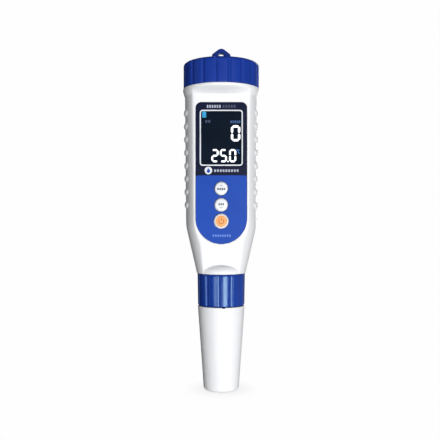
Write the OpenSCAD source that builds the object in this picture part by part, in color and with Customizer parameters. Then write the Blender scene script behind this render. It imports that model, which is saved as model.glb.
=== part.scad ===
// Pocket conductivity and temperature tester: a tapered pen with a battery cap
// on top, a display and three keys on its flat front, and a screw-on sensor
// below, which stands in a protective cap.
// Origin: centre of the protective cap's foot. +Z runs up the pen and the
// front of the pen faces -Y.

/* [Protective cap] */
// Height of the protective cap
guard_h = 44.4; // [43:0.1:46]
// Outer radius of the cap at its foot
guard_foot_r = 9.3; // [9:0.1:10]
// Outer radius of the cap at its open rim
guard_rim_r = 12.4; // [12:0.1:12.6]
// Wall thickness of the cap's lower part
guard_wall = 1.8; // [1.4:0.1:1.9]

/* [Collar] */
// Height of the collar nut that holds the sensor
collar_h = 16.9; // [16:0.1:18]
// Outer radius of the collar at its top edge
collar_r = 12.6; // [12.4:0.1:13]
// Number of flutes round the collar
collar_flutes = 12; // [8:1:16]

/* [Housing] */
// Height of the tapered lower part of the housing
taper_h = 24.8; // [22:0.1:28]
// Height of the barrel with the display
barrel_h = 68.6; // [66:0.1:74]
// Radius of the round neck above the collar
neck_r = 12.85; // [12.7:0.05:13.2]
// Radius of the barrel's round sides at its lower end
barrel_low_r = 18.6; // [18.4:0.1:19]
// Radius of the barrel's round sides at its upper end
barrel_top_r = 19.2; // [19:0.1:19.6]
// Distance of the flat front and back from the axis
flat_y = 12.5; // [12.4:0.1:12.9]
// Radius of the flange under the battery cap
flange_r = 20.2; // [20:0.1:20.6]
// Grip bumps on each side
grip_count = 8; // [4:1:8]

/* [Battery cap] */
// Radius of the battery cap
cap_r = 20; // [19.8:0.1:20.2]
// Height of the battery cap's gripping skirt
cap_skirt_h = 13.3; // [13:0.1:14]
// Number of grip lands round the cap
cap_lands = 18; // [12:1:24]
// Radius of the lanyard eye
eye_r = 1.5; // [1.2:0.1:1.6]

/* [Front panel] */
// Half the width of the front panel
panel_half = 13.1; // [12.5:0.1:13.2]
// Length of the front panel
panel_h = 72.4; // [70:0.1:73]
// Width of the display window
window_w = 21.2; // [20:0.1:21.6]
// Height of the display window
window_h = 27.8; // [26:0.1:28]
// Distance between neighbouring keys
key_pitch = 8.35; // [8:0.05:8.6]
// Travel of each key
key_travel = 0.6; // [0.3:0.1:0.6]

/* [Screw threads] */
// Rise of both screw threads in one turn
thread_lead = 2.5; // [2.4:0.1:2.6]

/* [Hidden] */
$fn = 96;

// Places well clear of the pen, where cuts start and end
clear_y = -20;
clear_x = 30;
clear_z = 200;

// Heights up the pen
seam = 0.1;
collar_z = guard_h + seam;
neck_z = collar_z + collar_h;
barrel_z = neck_z + taper_h;
shoulder_z = barrel_z + barrel_h;
flange_z = shoulder_z + 2.5;
cap_z = flange_z + 1.1;
cap_top_z = cap_z + cap_skirt_h;

// Screw threads
thread_steps = 36;
thread_depth = 0.7;
thread_gap = 0.2;
thread_base = 1.5;
thread_crest = 0.8;
thread_bed = 0.3;
collar_turns = 2;
cap_turns = 1.5;

// Sensor and the lower screw joint
nipple_bore_r = 8.5;
nipple_root_r = 10.1;
nipple_z = 49.6;
nipple_thread_z = nipple_z + 2.6;
collar_bore_r = nipple_root_r + thread_depth + thread_gap;
collar_lip_r = 9.25;
collar_lip_h = 2.5;
sensor_seat_r = 9.1;
sensor_seat_z = 31;
sensor_tip_r = 7.5;
sensor_tip_z = 9;
sensor_pin_z = 20;
flange_low_z = collar_z + collar_lip_h + 0.05;
flange_top_z = nipple_z - 0.05;
sensor_stem_r = 8.3;
sensor_top_z = 63;
guard_bore_r = 9.5;
guard_bore_z = 30;
guard_floor = 2;
plug_z = 64;
plug_h = 7;
cap_ring_z = 38;
cap_ring_r = 8.68;
cap_ring_t = 0.76;
stem_ring_z = 55;
stem_ring_r = 7.78;
stem_ring_t = 0.66;
ring_room = 0.14;
pin_circle_r = 4;
pin_r = 0.5;
pin_top_z = 69;
pin_count = 5;

// Housing
wall_y = flat_y - 1.5;
cavity_r = 17;
cavity_low_z = 70;
cavity_z = 88;
cavity_top_z = shoulder_z + 1.2;
top_bore_r = 15.6;
top_root_r = 17;
top_ring_z = cap_z + 1.8;
top_ring_r = 16.9;
top_ring_t = 0.8;
top_nipple_z = cap_z + 9.6;
top_thread_z = cap_z + 4.2;
cap_bore_r = top_root_r + thread_depth + thread_gap;
neck_ring_h = 1;
neck_round = 3.5;
low_flat_y = 8.9;
flat_low_z = neck_z + 15.1;
ledge_z = shoulder_z - 0.8;
grip_pitch = 6.85;
grip_top_z = shoulder_z - 9.6;
grip_angle = 77;
grip_sweep = 20;
grip_tube_r = 1.9;
grip_proud = 0.9;

// Front panel, display and keys
panel_top_z = shoulder_z - 5.2;
panel_z = panel_top_z - panel_h;
panel_corner_r = 2.8;
panel_face_y = -flat_y - 0.15;
panel_back_y = -flat_y + 0.5;
window_mid_z = panel_top_z - 18.2;
lens_gap = 0.05;
mode_key_z = panel_z + 28.3;
key_z = [for (i = [0:2]) mode_key_z - i * key_pitch];
key_r = [3.2, 3.2, 3.6];
key_face_y = -flat_y - 0.8;
key_gap = 0.3;
key_rim = 0.6;
key_rim_t = 0.7;
key_back_y = -flat_y + 2.3;
key_well = 1.2;
plunger_r = 1.2;
plunger_play = 0.1;
switch_h = 1.6;
switch_half = 2.25;
glass_y = -flat_y + 1.7;
glass_t = 1.8;
glass_half = 10.5;
glass_extra = 1.6;
board_y = -flat_y + 5.1;
board_t = 1;
switch_bore_y = board_y - 0.15;
plunger_end_y = switch_bore_y - key_travel - plunger_play;
board_half = 11;
board_low_z = 83.5;
board_top_z = shoulder_z - 3.8;
backlight_y = glass_y + glass_t + 0.05;
strip_h = 2.2;

// Batteries and their chassis
cell_r = 5.15;
cell_h = 43.7;
cell_nub_r = 1.9;
cell_nub_h = 0.8;
cell_x = 5.7;
cell_y = 4.9;
cell_z = cap_z - 39.4;
cell_tube_r = 5.4;
chassis_floor_z = cell_z - 7;
cell_floor_z = chassis_floor_z + 2;
chassis_top_z = cap_z + 1.6;
chassis_half = 12.2;
chassis_front_y = cell_y - 6.2;
chassis_back_y = wall_y - 0.2;
post_x = 8.6;
post_low_z = chassis_floor_z + 1;
post_top_z = board_top_z - 2;
post_r = 1.9;
screw_l = 5;
screw_r = 0.9;
screw_head_r = 1.7;
screw_head_h = 0.7;
disc_r = 15.4;
disc_z = cap_z + 7.4;
disc_h = 1.5;
pivot_r = 1.8;
pivot_gap = 0.05;
pilot_r = 1.2;
cap_roof_z = cap_top_z - 2.2;
spring_wire_r = 0.35;
bridge_h = 0.4;
contact_gap = 0.1;
cell_ends_z = cell_z + cell_h + cell_nub_h;

white = [0.95, 0.95, 0.95];
cap_blue = [0.14, 0.27, 0.66];
panel_navy = [0.11, 0.13, 0.3];
steel = [0.75, 0.76, 0.78];
gold = [0.85, 0.68, 0.3];
rubber_black = [0.08, 0.08, 0.08];

// Points of an arc about [cx, cy] from angle a0 to a1, in steps straight runs
function arc(cx, cy, r, a0, a1, steps) =
    [for (i = [0:steps]) let (a = a0 + (a1 - a0) * i / steps) [cx + r * cos(a), cy + r * sin(a)]];

// A ring lying round the axis between heights z and z + h
module ring(z, h, outer_r, inner_r) {
    translate([0, 0, z])
        difference() {
            cylinder(r = outer_r, h = h);
            translate([0, 0, -1])
                cylinder(r = inner_r, h = h + 2);
        }
}

// An O-ring of section radius section_r, whose middle runs at radius mid_r
module o_ring(z, mid_r, section_r) {
    translate([0, 0, z])
        rotate_extrude()
            translate([mid_r, 0])
                circle(r = section_r, $fn = 32);
}

// The groove that an O-ring lies in, open to the outside
module o_ring_groove(z, mid_r, section_r) {
    half_h = section_r + ring_room;
    ring(z - half_h, 2 * half_h, mid_r + 2, mid_r - section_r - 0.02);
}

// A cylinder that runs back (+Y) from the point [x, y, z]
module rod_back(x, y, z, r, length) {
    translate([x, y, z])
        rotate([-90, 0, 0])
            cylinder(r = r, h = length);
}

// A box from its low corner to its high corner
module box(low, high) {
    translate(low)
        cube(high - low);
}

// The ridge of a right-handed screw thread. It rises from root_r to crest_r,
// outwards on a nipple and inwards in a nut.
module thread_ridge(root_r, crest_r, z, turns) {
    steps = turns * thread_steps;
    side = crest_r > root_r ? 1 : -1;
    bed_r = root_r - side * thread_bed;
    section = [[bed_r, -thread_base / 2], [crest_r, -thread_crest / 2],
        [crest_r, thread_crest / 2], [bed_r, thread_base / 2]];
    points = [for (i = [0:steps]) let (a = 360 * i / thread_steps)
        for (p = section)
            [p[0] * cos(a), p[0] * sin(a), z + side * p[1] + thread_lead * a / 360]];
    last = 4 * steps;
    walls = [for (i = [0:steps - 1]) for (j = [0:3]) let (k = (j + 1) % 4)
        for (face = [[4 * i + j, 4 * i + k, 4 * i + 4 + j], [4 * i + k, 4 * i + 4 + k, 4 * i + 4 + j]])
            face];
    ends = [[3, 2, 1, 0], [last, last + 1, last + 2, last + 3]];
    polyhedron(points, concat(walls, ends), convexity = 8);
}

// A round wire swept along a route; up is a direction that the route never takes
module wire(route, r, sides, up) {
    count = len(route);
    rings = [for (i = [0:count - 1])
        let (run = route[min(i + 1, count - 1)] - route[max(i - 1, 0)],
            across = cross(run, up) / norm(cross(run, up)),
            over = cross(across, run) / norm(run))
        for (j = [0:sides - 1]) let (a = 360 * j / sides)
            route[i] + r * (cos(a) * across + sin(a) * over)];
    walls = [for (i = [0:count - 2]) for (j = [0:sides - 1]) let (k = (j + 1) % sides)
        [sides * i + j, sides * i + k, sides * (i + 1) + k, sides * (i + 1) + j]];
    ends = [[for (j = [sides - 1:-1:0]) j], [for (j = [0:sides - 1]) sides * (count - 1) + j]];
    polyhedron(rings, concat(walls, ends), convexity = 8);
}

// A conical contact spring that stands on z, wide at its foot
module contact_spring(x, z, height, low_r, high_r, turns) {
    per_turn = 16;
    steps = turns * per_turn;
    rise = height - 2 * spring_wire_r;
    route = [for (i = [0:steps]) let (a = 360 * i / per_turn, r = low_r + (high_r - low_r) * i / steps)
        [x + r * cos(a), cell_y + r * sin(a), z + spring_wire_r + rise * i / steps]];
    wire(route, spring_wire_r, 6, [0, 0, 1]);
}

// ---- Protective cap ----

module protective_cap() {
    foot_round = 1.6;
    floor_r = guard_foot_r - guard_wall;
    step = 0.4;
    outer = concat([[0, 0]], arc(guard_foot_r - foot_round, foot_round, foot_round, -90, 0, 4),
        [[guard_rim_r, guard_h]]);
    inner = [[guard_bore_r + step, guard_h], [guard_bore_r, guard_h - 2 * step], [guard_bore_r, guard_bore_z],
        [guard_bore_r - step, guard_bore_z - step], [floor_r, guard_floor], [0, guard_floor]];
    color(white)
        rotate_extrude()
            polygon(concat(outer, inner));
}

// ---- Sensor ----

module sensor_body() {
    slot_w = 3.4;
    rim_h = 2;
    cup_r = 6.2;
    bridge_h = 1.5;
    color([0.16, 0.17, 0.19])
        difference() {
            union() {
                translate([0, 0, sensor_tip_z])
                    cylinder(r = sensor_tip_r, h = sensor_seat_z - sensor_tip_z);
                translate([0, 0, sensor_seat_z])
                    cylinder(r = sensor_seat_r, h = flange_low_z - sensor_seat_z);
                translate([0, 0, flange_low_z])
                    cylinder(r = nipple_root_r - 0.1, h = flange_top_z - flange_low_z);
                translate([0, 0, flange_top_z])
                    cylinder(r = sensor_stem_r, h = sensor_top_z - flange_top_z);
            }
            // the open cup round the electrodes, and its four slots
            translate([0, 0, sensor_tip_z - 1])
                cylinder(r = cup_r, h = sensor_pin_z - sensor_tip_z + 1);
            for (turn = [0, 90])
                rotate([0, 0, 45 + turn])
                    box([-10, -slot_w / 2, sensor_tip_z + rim_h], [10, slot_w / 2, sensor_pin_z - bridge_h]);
            // grooves of the two O-rings
            o_ring_groove(cap_ring_z, cap_ring_r, cap_ring_t);
            o_ring_groove(stem_ring_z, stem_ring_r, stem_ring_t);
        }
}

module sensing_electrodes() {
    electrode_r = 1.1;
    low_z = sensor_tip_z + 2.2;
    color([0.25, 0.25, 0.27])
        for (x = [-2.6, 2.6])
            translate([x, -1.2, low_z])
                cylinder(r = electrode_r, h = sensor_pin_z - low_z);
}

module temperature_probe() {
    probe_r = 1.25;
    nose_h = 0.6;
    low_z = sensor_tip_z + 3;
    color(steel)
        translate([0, 3.2, low_z]) {
            cylinder(r1 = probe_r - 0.5, r2 = probe_r, h = nose_h);
            translate([0, 0, nose_h])
                cylinder(r = probe_r, h = sensor_pin_z - low_z - nose_h);
        }
}

module cap_o_ring() {
    color(rubber_black)
        o_ring(cap_ring_z, cap_ring_r, cap_ring_t);
}

module sensor_o_ring() {
    color(rubber_black)
        o_ring(stem_ring_z, stem_ring_r, stem_ring_t);
}

module sensor_pins() {
    color(gold)
        for (i = [0:pin_count - 1])
            rotate([0, 0, 360 * i / pin_count + 90])
                translate([pin_circle_r, 0, sensor_top_z])
                    cylinder(r = pin_r, h = pin_top_z - sensor_top_z, $fn = 32);
}

// ---- Collar ----

module collar() {
    low_r = collar_r - 0.3;
    edge = 0.8;
    flute_r = 1.7;
    flute_depth = 0.4;
    flute_start = -96;
    top_z = collar_z + collar_h - seam;
    color(cap_blue)
        difference() {
            translate([0, 0, collar_z])
                union() {
                    cylinder(r1 = low_r - edge, r2 = low_r, h = edge);
                    translate([0, 0, edge])
                        cylinder(r1 = low_r, r2 = collar_r, h = top_z - collar_z - edge);
                }
            translate([0, 0, collar_z - 1])
                cylinder(r = collar_lip_r, h = collar_h + 2);
            translate([0, 0, collar_z + collar_lip_h])
                cylinder(r = collar_bore_r, h = collar_h);
            for (i = [0:collar_flutes - 1])
                rotate([0, 0, flute_start + i * 360 / collar_flutes])
                    translate([collar_r + flute_r - flute_depth, 0, collar_z - 1])
                        cylinder(r = flute_r, h = collar_h + 2, $fn = 32);
        }
    color(cap_blue)
        thread_ridge(collar_bore_r, nipple_root_r + thread_gap, nipple_thread_z + thread_lead / 2, collar_turns);
}

// ---- Housing ----

// The round neck above the collar, with a rounded shoulder
module neck() {
    ring_z = neck_z + neck_ring_h;
    rotate_extrude()
        polygon(concat([[0, neck_z], [neck_r, neck_z]],
            arc(neck_r - neck_round, ring_z, neck_round, 0, 90, 6), [[0, ring_z + neck_round]]));
}

// The tapered part and the barrel: round sides, and a flat front and back that
// draw in towards the neck
module body() {
    intersection() {
        union() {
            translate([0, 0, neck_z])
                cylinder(r1 = neck_r, r2 = barrel_low_r, h = taper_h);
            translate([0, 0, barrel_z])
                cylinder(r1 = barrel_low_r, r2 = barrel_top_r, h = barrel_h);
        }
        translate([-clear_x, 0, 0])
            rotate([90, 0, 90])
                linear_extrude(2 * clear_x)
                    polygon([[-low_flat_y, neck_z], [low_flat_y, neck_z], [flat_y, flat_low_z],
                        [flat_y, shoulder_z + 1], [-flat_y, shoulder_z + 1], [-flat_y, flat_low_z]]);
    }
}

// The ledge where the flat-sided barrel widens into the round flange
module ledge() {
    slice_h = 0.1;
    hull() {
        intersection() {
            translate([0, 0, ledge_z])
                cylinder(r = barrel_top_r, h = slice_h);
            box([-clear_x, -flat_y, 0], [clear_x, flat_y, clear_z]);
        }
        translate([0, 0, flange_z - slice_h])
            cylinder(r = flange_r, h = slice_h);
    }
}

module housing_outside() {
    neck();
    body();
    ledge();
    translate([0, 0, flange_z])
        cylinder(r = flange_r, h = cap_z - flange_z);
    translate([0, 0, cap_z])
        cylinder(r = top_root_r, h = top_nipple_z - cap_z);
    translate([0, 0, nipple_z])
        cylinder(r = nipple_root_r, h = neck_z - nipple_z + 1);
}

// The raised ovals on the two sides
module grip_bumps() {
    for (i = [0:grip_count - 1], side = [0, 180])
        let (z = grip_top_z - i * grip_pitch,
            surface_r = barrel_low_r + (barrel_top_r - barrel_low_r) * (z - barrel_z) / barrel_h)
            translate([0, 0, z])
                rotate([0, 0, side - grip_sweep / 2 + (side == 0 ? grip_angle - 90 : 90 - grip_angle)])
                    rotate_extrude(angle = grip_sweep)
                        translate([surface_r + grip_proud - grip_tube_r, 0])
                            circle(r = grip_tube_r, $fn = 32);
}

module housing_inside() {
    translate([0, 0, nipple_z - 1])
        cylinder(r = nipple_bore_r, h = cavity_low_z - nipple_z + 2);
    intersection() {
        translate([0, 0, cavity_low_z])
            cylinder(r1 = nipple_bore_r, r2 = cavity_r, h = cavity_z - cavity_low_z);
        box([-clear_x, -wall_y, 0], [clear_x, wall_y, clear_z]);
    }
    intersection() {
        translate([0, 0, cavity_z])
            cylinder(r = cavity_r, h = cavity_top_z - cavity_z);
        box([-clear_x, -wall_y, 0], [clear_x, wall_y, clear_z]);
    }
    translate([0, 0, cavity_top_z])
        cylinder(r = top_bore_r, h = top_nipple_z - cavity_top_z + 1);
}

// Flat shape of the front panel, in X and height
module panel_outline() {
    low_mid = panel_z + panel_half;
    corner_x = panel_half - panel_corner_r;
    corner_z = panel_top_z - panel_corner_r;
    polygon(concat(arc(0, low_mid, panel_half, 180, 360, 24),
        arc(corner_x, corner_z, panel_corner_r, 0, 90, 5),
        arc(-corner_x, corner_z, panel_corner_r, 90, 180, 5)));
}

// Extrudes a flat shape in X and height from y_front back to y_back
module upright(y_front, y_back) {
    translate([0, y_back, 0])
        rotate([90, 0, 0])
            linear_extrude(y_back - y_front)
                children();
}

module housing() {
    lens_rest = 0.7;
    window_low = [-window_w / 2 + lens_rest, clear_y, window_mid_z - window_h / 2 + lens_rest];
    window_high = [window_w / 2 - lens_rest, 0, window_mid_z + window_h / 2 - lens_rest];
    color(white)
        difference() {
            union() {
                housing_outside();
                grip_bumps();
                thread_ridge(nipple_root_r, nipple_root_r + thread_depth, nipple_thread_z, collar_turns + 0.5);
                thread_ridge(top_root_r, top_root_r + thread_depth, top_thread_z, cap_turns);
            }
            housing_inside();
            upright(clear_y, panel_back_y)
                offset(0.1)
                    panel_outline();
            box(window_low, window_high);
            for (i = [0:2])
                rod_back(0, clear_y, key_z[i], key_r[i] + key_rim + key_gap, -wall_y - clear_y + 4);
            o_ring_groove(top_ring_z, top_ring_r, top_ring_t);
        }
}

// ---- Front panel, display and keys ----

module front_panel() {
    color(panel_navy)
        difference() {
            upright(panel_face_y, panel_back_y)
                panel_outline();
            box([-window_w / 2, clear_y, window_mid_z - window_h / 2],
                [window_w / 2, 0, window_mid_z + window_h / 2]);
            for (i = [0:2])
                rod_back(0, clear_y, key_z[i], key_r[i] + key_gap, -clear_y);
        }
}

module display_lens() {
    half_w = window_w / 2 - lens_gap;
    half_h = window_h / 2 - lens_gap;
    color([0.07, 0.09, 0.13])
        box([-half_w, panel_face_y, window_mid_z - half_h], [half_w, panel_back_y, window_mid_z + half_h]);
}

module lcd_glass() {
    half_h = window_h / 2 + glass_extra;
    color([0.12, 0.2, 0.22])
        box([-glass_half, glass_y, window_mid_z - half_h],
            [glass_half, glass_y + glass_t, window_mid_z + half_h]);
}

module lcd_backlight() {
    half_h = window_h / 2 - 1;
    color([0.9, 0.95, 1])
        box([-glass_half + 0.5, backlight_y, window_mid_z - half_h],
            [glass_half - 0.5, board_y - 0.05, window_mid_z + half_h]);
}

module lcd_connector_strips() {
    half_h = window_h / 2 + glass_extra;
    color([0.3, 0.3, 0.32])
        for (low_z = [window_mid_z - half_h + 0.1, window_mid_z + half_h - strip_h - 0.1])
            box([-9.5, glass_y + glass_t, low_z], [9.5, board_y, low_z + strip_h]);
}

module main_board() {
    color([0.05, 0.35, 0.18])
        difference() {
            box([-board_half, board_y, board_low_z], [board_half, board_y + board_t, board_top_z]);
            for (x = [-post_x, post_x], z = [post_low_z, post_top_z])
                rod_back(x, board_y - 1, z, screw_r + 0.1, board_t + 2);
        }
}

module board_chips() {
    back_y = board_y + board_t;
    // each chip: middle x, middle height above the board's foot, width, height, thickness
    chips = [[0, 17.5, 7.4, 7.4, 1.2], [-6.5, 8.5, 5, 4, 1.4], [5.5, 9, 5, 6, 1.2], [7.5, 21.5, 3.2, 5, 1.6],
        [-7.6, 20.5, 2.4, 6.5, 2.2]];
    color(rubber_black)
        for (chip = chips)
            translate([chip[0] - chip[2] / 2, back_y, board_low_z + chip[1] - chip[3] / 2])
                cube([chip[2], chip[4], chip[3]]);
}

module key_switches() {
    front_y = board_y - switch_h;
    color([0.2, 0.2, 0.22])
        for (z = key_z)
            difference() {
                box([-switch_half, front_y, z - switch_half], [switch_half, board_y, z + switch_half]);
                rod_back(0, front_y - 1, z, plunger_r + 0.05, switch_bore_y - front_y + 1);
            }
}

module plunger(i) {
    color([0.9, 0.9, 0.9])
        rod_back(0, key_back_y, key_z[i], plunger_r, plunger_end_y - key_back_y);
}

// A key: a domed button, with a rim behind the panel that keeps it in
module key_body(i, hole_r) {
    r = key_r[i];
    crown = 0.25;
    rim_y = panel_back_y + 0.1;
    difference() {
        translate([0, key_face_y, key_z[i]])
            rotate([-90, 0, 0])
                union() {
                    cylinder(r1 = r - crown, r2 = r, h = crown);
                    translate([0, 0, crown])
                        cylinder(r = r, h = key_back_y - key_face_y - crown);
                    translate([0, 0, rim_y - key_face_y])
                        cylinder(r = r + key_rim, h = key_rim_t);
                }
        if (hole_r > 0)
            rod_back(0, key_face_y - 1, key_z[i], hole_r, key_well + 1);
    }
}

module mode_key() {
    color(white)
        key_body(0, 0);
}

module mode_plunger() {
    plunger(0);
}

module cal_key() {
    color(white)
        key_body(1, 0);
}

module cal_plunger() {
    plunger(1);
}

module power_key_ring() {
    color(white)
        key_body(2, 2.9);
}

module power_key_centre() {
    centre_r = 2.88;
    color([0.95, 0.6, 0.3])
        rod_back(0, key_face_y + 0.05, key_z[2], centre_r, key_well - 0.1);
}

module power_plunger() {
    plunger(2);
}

// ---- Sensor socket ----

module sensor_socket() {
    color(rubber_black)
        difference() {
            translate([0, 0, plug_z])
                cylinder(r = nipple_bore_r - 0.05, h = plug_h);
            for (i = [0:pin_count - 1])
                rotate([0, 0, 360 * i / pin_count + 90])
                    translate([pin_circle_r, 0, plug_z - 1])
                        cylinder(r = pin_r + 0.08, h = pin_top_z - plug_z + 1.5, $fn = 32);
        }
}

// A flat flexible cable from the socket up to the back of the board
module sensor_ribbon() {
    thickness = 0.3;
    half_w = 3;
    start_y = -2;
    start_z = plug_z + plug_h;
    bend_z = start_z + 6;
    board_z = start_z + 14;
    end_y = board_y + board_t;
    end_z = start_z + 17;
    slant = 0.2;
    side = [[start_y, start_z], [start_y, bend_z], [end_y, board_z], [end_y, end_z],
        [end_y + thickness, end_z], [end_y + thickness, board_z + slant],
        [start_y + thickness, bend_z + slant], [start_y + thickness, start_z]];
    color([0.85, 0.5, 0.2])
        translate([-half_w, 0, 0])
            rotate([90, 0, 90])
                linear_extrude(2 * half_w)
                    polygon(side);
}

// ---- Battery chassis, cells and contacts ----

module chassis() {
    color([0.3, 0.32, 0.35])
        difference() {
            union() {
                intersection() {
                    box([-chassis_half, chassis_front_y, chassis_floor_z],
                        [chassis_half, chassis_back_y, chassis_top_z]);
                    translate([0, 0, chassis_floor_z - 1])
                        cylinder(r = top_bore_r - 0.2, h = clear_z);
                }
                for (x = [-post_x, post_x], z = [post_low_z, post_top_z])
                    rod_back(x, board_y + board_t, z, post_r, chassis_front_y - board_y);
            }
            for (x = [-cell_x, cell_x])
                translate([x, cell_y, cell_floor_z])
                    cylinder(r = cell_tube_r, h = clear_z);
            for (x = [-post_x, post_x], z = [post_low_z, post_top_z])
                rod_back(x, board_y, z, screw_r, screw_l + 2);
        }
}

module chassis_screws() {
    color(steel)
        for (x = [-post_x, post_x], z = [post_low_z, post_top_z]) {
            rod_back(x, board_y - screw_head_h, z, screw_head_r, screw_head_h);
            rod_back(x, board_y - 0.1, z, screw_r - 0.05, screw_l + 0.1);
        }
}

// An AAA-size cell; its button end is up, or down when flipped
module cell(x, flipped) {
    shoulder = 0.6;
    translate([x, cell_y, cell_z + (flipped ? cell_h + cell_nub_h : 0)])
        mirror([0, 0, flipped ? 1 : 0])
            union() {
                cylinder(r = cell_r, h = cell_h - shoulder);
                translate([0, 0, cell_h - shoulder])
                    cylinder(r1 = cell_r, r2 = cell_r - shoulder, h = shoulder);
                translate([0, 0, cell_h - 0.1])
                    cylinder(r = cell_nub_r, h = cell_nub_h + 0.1);
            }
}

module battery_cell_left() {
    color([0.75, 0.55, 0.25])
        cell(-cell_x, false);
}

module battery_cell_right() {
    color([0.75, 0.55, 0.25])
        cell(cell_x, true);
}

module lower_contact_spring() {
    color(steel)
        contact_spring(-cell_x, cell_floor_z, cell_z - cell_floor_z, 4.2, 2, 4);
}

module lower_contact_plate() {
    color(steel)
        translate([cell_x, cell_y, cell_floor_z]) {
            cylinder(r = 4.4, h = 0.4);
            cylinder(r = 2.4, h = cell_z - cell_floor_z);
        }
}

module battery_leads() {
    lead_r = 0.55;
    low_z = chassis_floor_z - lead_r;
    back_y = board_y + board_t + lead_r;
    color([0.7, 0.1, 0.1])
        for (x = [-cell_x, cell_x])
            wire([[x, 7, low_z], [x, 2, low_z], [x, -2, low_z - 1], [x * 0.9, -5, low_z - 2.5],
                [x * 0.8, back_y, low_z - 4.5], [x * 0.8, back_y, low_z - 7]], lead_r, 8, [1, 0, 0]);
}

module battery_cap_o_ring() {
    color(rubber_black)
        o_ring(top_ring_z, top_ring_r, top_ring_t);
}

module contact_disc() {
    color([0.85, 0.85, 0.82])
        translate([0, 0, disc_z])
            difference() {
                cylinder(r = disc_r, h = disc_h);
                translate([0, 0, -1])
                    cylinder(r = pivot_r + pivot_gap, h = disc_h + 2);
            }
}

module upper_contact_bridge() {
    half_l = 8.5;
    half_w = 2.5;
    low_z = disc_z - bridge_h;
    color(steel) {
        box([-half_l, cell_y - half_w, low_z], [half_l, cell_y + half_w, disc_z]);
        translate([-cell_x, cell_y, cell_ends_z + contact_gap])
            cylinder(r = 2.2, h = low_z - cell_ends_z);
    }
}

module upper_contact_spring() {
    low_z = cell_ends_z + contact_gap;
    color(steel)
        contact_spring(cell_x, low_z, disc_z - bridge_h - low_z, 2.6, 3.4, 2);
}

// ---- Battery cap ----

module battery_cap() {
    edge_r = 1.7;
    dome_z = cap_top_z + 1;
    pedestal_r = 6.1;
    pedestal_z = cap_top_z + 2.6;
    eye_z = cap_top_z + 4.3;
    loop_t = 3.6;
    loop_half_w = 5.2;
    loop_side_z = eye_z + 1;
    loop_round = 2.8;
    loop_slope = 37;
    loop_outline = concat([[loop_half_w, pedestal_z - 1], [loop_half_w - 0.4, loop_side_z]],
        arc(0, eye_z + 4 - loop_round, loop_round, 90 - loop_slope, 90 + loop_slope, 6),
        [[0.4 - loop_half_w, loop_side_z], [-loop_half_w, pedestal_z - 1]]);
    boss_r = 4;
    boss_z = disc_z + disc_h + pivot_gap;
    groove_r = 1.3;
    groove_depth = 0.5;
    groove_start = -98;
    skirt_z = cap_z + seam;
    profile = concat([[0, skirt_z], [cap_r, skirt_z]],
        arc(cap_r - edge_r, cap_top_z - edge_r, edge_r, 0, 90, 4),
        [[pedestal_r + 1, dome_z], [pedestal_r, pedestal_z], [0, pedestal_z]]);
    color(cap_blue)
        difference() {
            union() {
                rotate_extrude()
                    polygon(profile);
                rotate([90, 0, 0])
                    linear_extrude(loop_t, center = true)
                        polygon(loop_outline);
            }
            translate([0, 0, cap_z - 1])
                cylinder(r = cap_bore_r, h = cap_roof_z - cap_z + 1);
            for (i = [0:cap_lands - 1])
                rotate([0, 0, groove_start + i * 360 / cap_lands])
                    translate([cap_r + groove_r - groove_depth, 0, cap_z - 1])
                        cylinder(r = groove_r, h = cap_skirt_h - edge_r, $fn = 32);
            rod_back(0, clear_y, eye_z, eye_r, -2 * clear_y);
            // pilot hole of the contact disc's screw
            translate([0, 0, cap_roof_z - 1])
                cylinder(r = pilot_r, h = 3);
        }
    color(cap_blue)
        thread_ridge(cap_bore_r, top_root_r + thread_gap, top_thread_z + thread_lead / 2, cap_turns);
    // boss that the contact disc turns against
    color(cap_blue)
        ring(boss_z, cap_roof_z + 0.1 - boss_z, boss_r, pilot_r);
}

// The shouldered screw that the contact disc turns on
module contact_screw() {
    head_h = 0.9;
    head_r = 2.4;
    low_z = disc_z - pivot_gap - head_h;
    color(steel)
        translate([0, 0, low_z]) {
            cylinder(r = head_r, h = head_h);
            cylinder(r = pivot_r, h = head_h + disc_h + 2 * pivot_gap);
            cylinder(r = pilot_r - 0.05, h = cap_roof_z + 0.5 - low_z);
        }
}

protective_cap();
sensor_body();
sensing_electrodes();
temperature_probe();
cap_o_ring();
sensor_o_ring();
sensor_pins();
collar();
housing();
front_panel();
display_lens();
lcd_glass();
lcd_backlight();
lcd_connector_strips();
main_board();
board_chips();
key_switches();
sensor_socket();
sensor_ribbon();
chassis();
chassis_screws();
battery_cell_left();
battery_cell_right();
lower_contact_spring();
lower_contact_plate();
battery_leads();
battery_cap_o_ring();
contact_disc();
upper_contact_spring();
upper_contact_bridge();
battery_cap();
contact_screw();
mode_key();
mode_plunger();
cal_key();
cal_plunger();
power_key_ring();
power_key_centre();
power_plunger();
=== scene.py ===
"""Looks of the water test pen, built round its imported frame.

The frame gives every place: the pen stands on Z, with its display towards -Y.
Shapes are worked out in millimetres and turned into metres as meshes are made.
"""

import math

import bmesh
import bpy
import numpy as np
from mathutils import Matrix, Vector


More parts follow.
